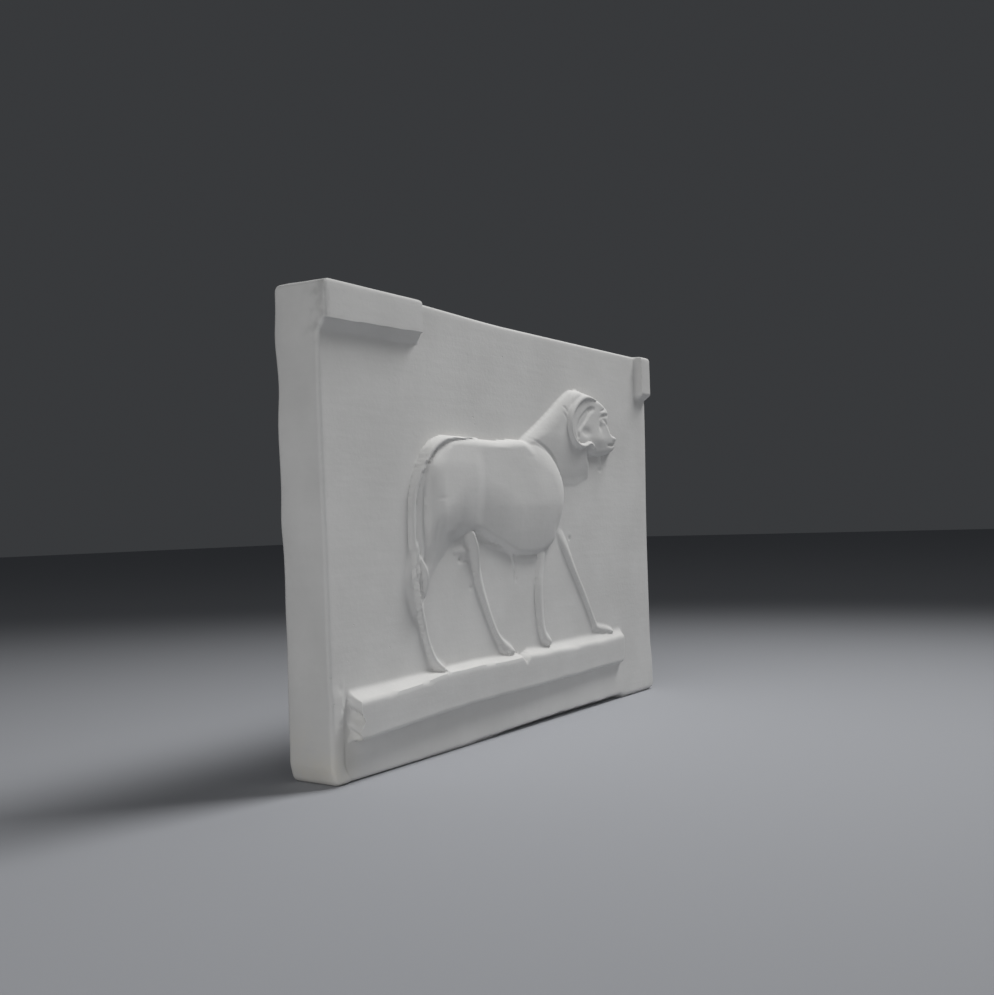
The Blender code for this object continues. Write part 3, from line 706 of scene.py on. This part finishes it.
def backRings(rim):
    # rings of points from the front rim back over the sides, then round the back edge
    s = slab
    low = rim[:, 2] < s["footReach"]
    foot = footEdge(rim[:, 0])
    level = np.where(low, (rim[:, 2] - foot) / (1.0 - foot / s["footReach"]), rim[:, 2])
    flat = np.stack([rim[:, 0], np.where(level < 0.05, 0.0, level)], axis=-1)
    centre = np.array([(flat[:, 0].min() + flat[:, 0].max()) / 2, s["height"] / 2])
    half = np.array([s["width"] / 2, s["height"] / 2])
    back = rim[:, 1] + np.where(low, footBack(rim[:, 0]), s["footBack"][0])
    rings = [np.stack([flat[:, 0], back, flat[:, 1]], axis=-1)]

    depths = [(depth, 0.0) for depth in s["sideRings"]]
    for turn in np.linspace(0.0, np.pi / 2, s["roundSteps"]):
        inset = s["backRound"] * (1.0 - np.cos(turn))
        depths.append((s["depth"] - s["backRound"] + s["backRound"] * np.sin(turn), inset))
    side = np.sign(flat[:, 0] - centre[0]) * (np.abs(flat[:, 0] - centre[0]) > half[0] - 5.0)
    topLeft = ease((flat[:, 1] - 126.0) / 12.0), ease((-55.0 - flat[:, 0]) / 45.0)
    for depth, inset in depths:
        plan = centre + (flat - centre) * (half - inset) / half
        share = min(depth / s["sideRings"][-1], 1.0)
        uneven = ripples(flat[:, 1] + flat[:, 0], depth * 2.0, *s["sideRipple"])
        for height, reach, swell in s["sideSwells"]:
            uneven += swell * np.exp(-(((flat[:, 1] - height) / reach) ** 2)) * (flat[:, 0] < centre[0])
        outward = side * uneven * share
        plan[:, 0] += outward * ease(flat[:, 1] / 4.0) * ease((s["height"] - flat[:, 1]) / 4.0)
        plan[:, 1] += s["topRise"][1] * share * topLeft[0] * topLeft[1]
        rings.append(np.stack([plan[:, 0], np.full(len(rim), depth), plan[:, 1]], axis=-1))
    return rings, centre[0]


def slabMesh():
    g, f = groundLine, framePieces
    middle = slab["width"] / 2
    # columns and rows of the grid that lie on an edge of a form
    ends = [g["left"], g["left"] + g["endWidth"], f["barRight"] - f["barEdge"], f["barRight"] + f["barEdge"]]
    ends += [f["blockLeft"] - f["blockEdge"][0], f["blockLeft"] + f["blockEdge"][1]]
    levels = [groundUnderside(g["left"]) - 0.4, groundUnderside(g["left"]) + 0.4, groundTop(g["left"])]
    levels += [f["barUnderside"] + below for below, proud in f["barSlope"]]
    levels += [f["blockUnderside"] - f["blockDrop"], f["blockUnderside"]]
    across = gridLines(slab["width"], grid["across"], grid["acrossSteps"], [middle + place for place in ends])
    up = gridLines(slab["height"], grid["up"], grid["upSteps"], levels)
    u, v = np.meshgrid(across, up)
    x, z, height = frontPoints(u, v)
    front = np.stack([x, -height, z], axis=-1).reshape(-1, 3)
    print("front surface worked out,", x.size, "points")

    index = np.arange(x.size).reshape(x.shape)
    corners = [index[:-1, :-1], index[:-1, 1:], index[1:, 1:], index[1:, :-1]]
    faces = np.stack(corners, axis=-1).reshape(-1, 4).tolist()
    rim = np.concatenate([index[0, :-1], index[:-1, -1], index[-1, :0:-1], index[:0:-1, 0]])
    rings, centre = backRings(front[rim])
    numbers = [rim] + [np.arange(len(rim)) + x.size + k * len(rim) for k in range(len(rings))]
    for one, two in zip(numbers[:-1], numbers[1:]):
        faces += np.stack([one, two, np.roll(two, -1), np.roll(one, -1)], axis=-1).tolist()
    faces.append(numbers[-1][::-1].tolist())

    made = np.concatenate([front] + rings)
    made[:, 0] -= centre
    made[:, 1] -= slab["depth"] - cadBox[1][1] / mm
    mesh = bpy.data.meshes.new("plasterSlab")
    mesh.from_pydata((made * mm).tolist(), [], faces)
    mesh.update()
    mesh.shade_smooth()
    mesh.set_sharp_from_angle(angle=np.radians(slab["sharpAngle"]))
    return mesh


class Value:
    # wraps a socket, so that shader maths is written as an expression
    def __init__(self, maker, socket):
        self.maker = maker
        self.socket = socket

    def withMath(self, operation, first, second):
        return self.maker.node("ShaderNodeMath", {"operation": operation}, {0: first, 1: second})

    def __add__(self, other):
        return self.withMath("ADD", self, other)

    def __radd__(self, other):
        return self.withMath("ADD", other, self)

    def __sub__(self, other):
        return self.withMath("SUBTRACT", self, other)

    def __rsub__(self, other):
        return self.withMath("SUBTRACT", other, self)

    def __mul__(self, other):
        return self.withMath("MULTIPLY", self, other)

    def __rmul__(self, other):
        return self.withMath("MULTIPLY", other, self)

    def within(self, low, high):
        # 0 below low, 1 above high, smooth between them
        settings = {"interpolation_type": "SMOOTHSTEP"}
        values = {"Value": self, "From Min": low, "From Max": high}
        return self.maker.node("ShaderNodeMapRange", settings, values)


class Finish:
    def __init__(self, name):
        self.material = bpy.data.materials.new(name)
        self.material.use_nodes = True
        self.tree = self.material.node_tree
        self.shader = self.tree.nodes["Principled BSDF"]

    def node(self, kind, settings, values, output=0):
        made = self.tree.nodes.new(kind)
        for name, setting in settings.items():
            setattr(made, name, setting)
        for key, value in values.items():
            self.put(made.inputs[key], value)
        return Value(self, made.outputs[output])

    def put(self, socket, value):
        if isinstance(value, Value):
            self.tree.links.new(value.socket, socket)
        else:
            socket.default_value = value

    def noise(self, place, size, detail=3.0, rough=0.5):
        values = {"Vector": place, "Scale": 1.0 / size, "Detail": detail, "Roughness": rough}
        return self.node("ShaderNodeTexNoise", {}, values)

    def mixed(self, factor, one, two):
        values = {"Factor": factor, 6: one, 7: two}
        return self.node("ShaderNodeMix", {"data_type": "RGBA"}, values, output=2)


plaster = {
    "light": (0.76, 0.755, 0.74, 1.0),
    "dark": (0.67, 0.665, 0.65, 1.0),
    # painted shade: the darker colour given inside the pits
    "pitShade": (0.47, 0.46, 0.44, 1.0),
    "warmStain": (0.70, 0.655, 0.55, 1.0),
    "smudge": (0.45, 0.45, 0.44, 1.0),
    "roughness": (0.78, 0.92),
    "specular": 0.3,
    # sizes of the patterns in metres
    "mottleSize": 0.030,
    "grainSize": 0.0016,
    "streakSize": 0.0022,
    "pitSpacing": 0.0045,
    "pitPatchSize": 0.017,
    "handledSize": 0.005,
    "bumpDepth": 0.00035,
    "bumpStrength": 0.6,
}


def plasterFinish():
    p = plaster
    finish = Finish("plaster")
    place = finish.node("ShaderNodeTexCoord", {}, {}, output="Object")
    parts = finish.node("ShaderNodeSeparateXYZ", {}, {0: place})
    xPlace, yPlace, zPlace = (Value(finish, parts.socket.node.outputs[k]) for k in range(3))

    mottle = finish.noise(place, p["mottleSize"], detail=5.0, rough=0.6)
    grain = finish.noise(place, p["grainSize"], detail=4.0, rough=0.65)
    streaked = finish.node("ShaderNodeMapping", {}, {"Vector": place, "Scale": (0.12, 0.12, 1.0)})
    streaks = finish.noise(streaked, p["streakSize"], detail=3.0)
    spacing = {"Vector": place, "Scale": 1.0 / p["pitSpacing"], "Randomness": 1.0}
    cells = finish.node("ShaderNodeTexVoronoi", {}, spacing)
    sparse = finish.noise(place, p["pitPatchSize"], detail=1.0).within(0.58, 0.70)
    pits = (1 - cells.within(0.02, 0.07)) * sparse

    tone = finish.mixed(mottle.within(0.3, 0.72) * 0.7 + streaks * 0.25, p["dark"], p["light"])
    # a warm stain at the foot of the left side, and a handled corner above it
    stain = (1 - zPlace.within(0.002, 0.022)) * (1 - xPlace.within(-0.099, -0.085)) * mottle.within(0.35, 0.65)
    tone = finish.mixed(stain * 0.7, tone, p["warmStain"])
    handled = (1 - xPlace.within(-0.100, -0.098)) * zPlace.within(0.121, 0.129)
    handled = handled * (1 - yPlace.within(-0.006, 0.001))
    touched = finish.noise(place, p["handledSize"], detail=2.0).within(0.42, 0.68)
    tone = finish.mixed(handled * touched * 0.55, tone, p["smudge"])
    # the pits are painted darker, as painted shade inside them; their dent itself comes from the bump below
    tone = finish.mixed(pits * 0.35, tone, p["pitShade"])
    finish.put(finish.shader.inputs["Base Color"], tone)

    smoothest, roughest = p["roughness"]
    rough = finish.node("ShaderNodeMapRange", {}, {"Value": grain, "To Min": smoothest, "To Max": roughest})
    finish.put(finish.shader.inputs["Roughness"], rough)
    finish.shader.inputs["Metallic"].default_value = 0.0
    finish.shader.inputs["Specular IOR Level"].default_value = p["specular"]

    height = grain * 0.25 + streaks * 0.25 + mottle * 0.3 - pits * 1.0
    values = {"Height": height, "Strength": p["bumpStrength"], "Distance": p["bumpDepth"]}
    bump = finish.node("ShaderNodeBump", {}, values)
    finish.put(finish.shader.inputs["Normal"], bump)
    return finish.material


relievo = bpy.data.objects.new("plasterSlab", slabMesh())
bpy.context.collection.objects.link(relievo)
relievo.data.materials.append(plasterFinish())
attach(relievo, "root")
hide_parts("plaster_relief")
print("slab made,", len(relievo.data.polygons), "faces")


# The view of the photograph: where the camera stands, in mm from the slab's front, and how it is turned
view = {
    "place": (-325.65, -218.55, 71.76),
    "turn": 55.694,
    "rise": 1.405,
    "roll": -1.779,
    "lens": 39.8,
    "sensor": 36.0,
    "nearest": 0.01,        # metres from the camera at which things begin to show
}


def setCamera():
    turn, rise, roll = (np.radians(view[name]) for name in ("turn", "rise", "roll"))
    ahead = Vector((np.sin(turn) * np.cos(rise), np.cos(turn) * np.cos(rise), np.sin(rise)))
    level = Vector((np.cos(turn), -np.sin(turn), 0.0))
    upward = level.cross(ahead)
    right = level * np.cos(roll) + upward * np.sin(roll)
    top = upward * np.cos(roll) - level * np.sin(roll)
    camera = bpy.data.objects.new("camera", bpy.data.cameras.new("camera"))
    bpy.context.collection.objects.link(camera)
    camera.data.lens = view["lens"]
    camera.data.sensor_width = view["sensor"]
    camera.data.clip_start = view["nearest"]
    turned = Matrix((right, top, -ahead)).transposed().to_4x4()
    camera.matrix_world = Matrix.Translation(Vector(view["place"]) * mm) @ turned
    bpy.context.scene.camera = camera


studio = {
    "floorSize": 8.0,
    "floorDrop": 0.0001,        # keeps the floor clear of the underside
    "floorRoughness": 0.9,
    "floorTone": (0.42, 0.43, 0.455, 1.0),
    "worldTone": (0.80, 0.84, 0.90, 1.0),
    "worldStrength": 0.05,
    "lamps": (
        # place, aimed at, side length in metres, spread in degrees, watts
        ((0.42, -0.25, 0.82), (-0.02, -0.05, 0.12), 0.34, 70.0, 1.07),
        ((-1.15, -0.22, 0.40), (0.0, 0.0, 0.08), 0.80, 100.0, 0.98),
        ((-1.00, -0.95, 0.30), (0.0, 0.0, 0.08), 1.20, 100.0, 1.20),
    ),
}


def setStudio():
    bpy.ops.mesh.primitive_plane_add(size=studio["floorSize"], location=(0.0, 0.0, -studio["floorDrop"]))
    floor = bpy.context.object
    floor.name = "floor"
    finish = Finish("floorPaper")
    finish.shader.inputs["Base Color"].default_value = studio["floorTone"]
    finish.shader.inputs["Roughness"].default_value = studio["floorRoughness"]
    floor.data.materials.append(finish.material)
    world = bpy.data.worlds.new("studio")
    world.use_nodes = True
    background = world.node_tree.nodes["Background"]
    background.inputs["Color"].default_value = studio["worldTone"]
    background.inputs["Strength"].default_value = studio["worldStrength"]
    bpy.context.scene.world = world
    bpy.context.scene.view_settings.view_transform = "Standard"
    for number, (place, aim, side, spread, watts) in enumerate(studio["lamps"]):
        lamp = bpy.data.objects.new(f"lamp{number}", bpy.data.lights.new(f"lamp{number}", "AREA"))
        bpy.context.collection.objects.link(lamp)
        lamp.data.size = side
        lamp.data.spread = np.radians(spread)
        lamp.data.energy = watts
        lamp.location = place
        lamp.rotation_euler = (Vector(aim) - Vector(place)).to_track_quat("-Z", "Y").to_euler()


setCamera()
setStudio()
print("camera and lights set")

bpy.context.view_layer.update()
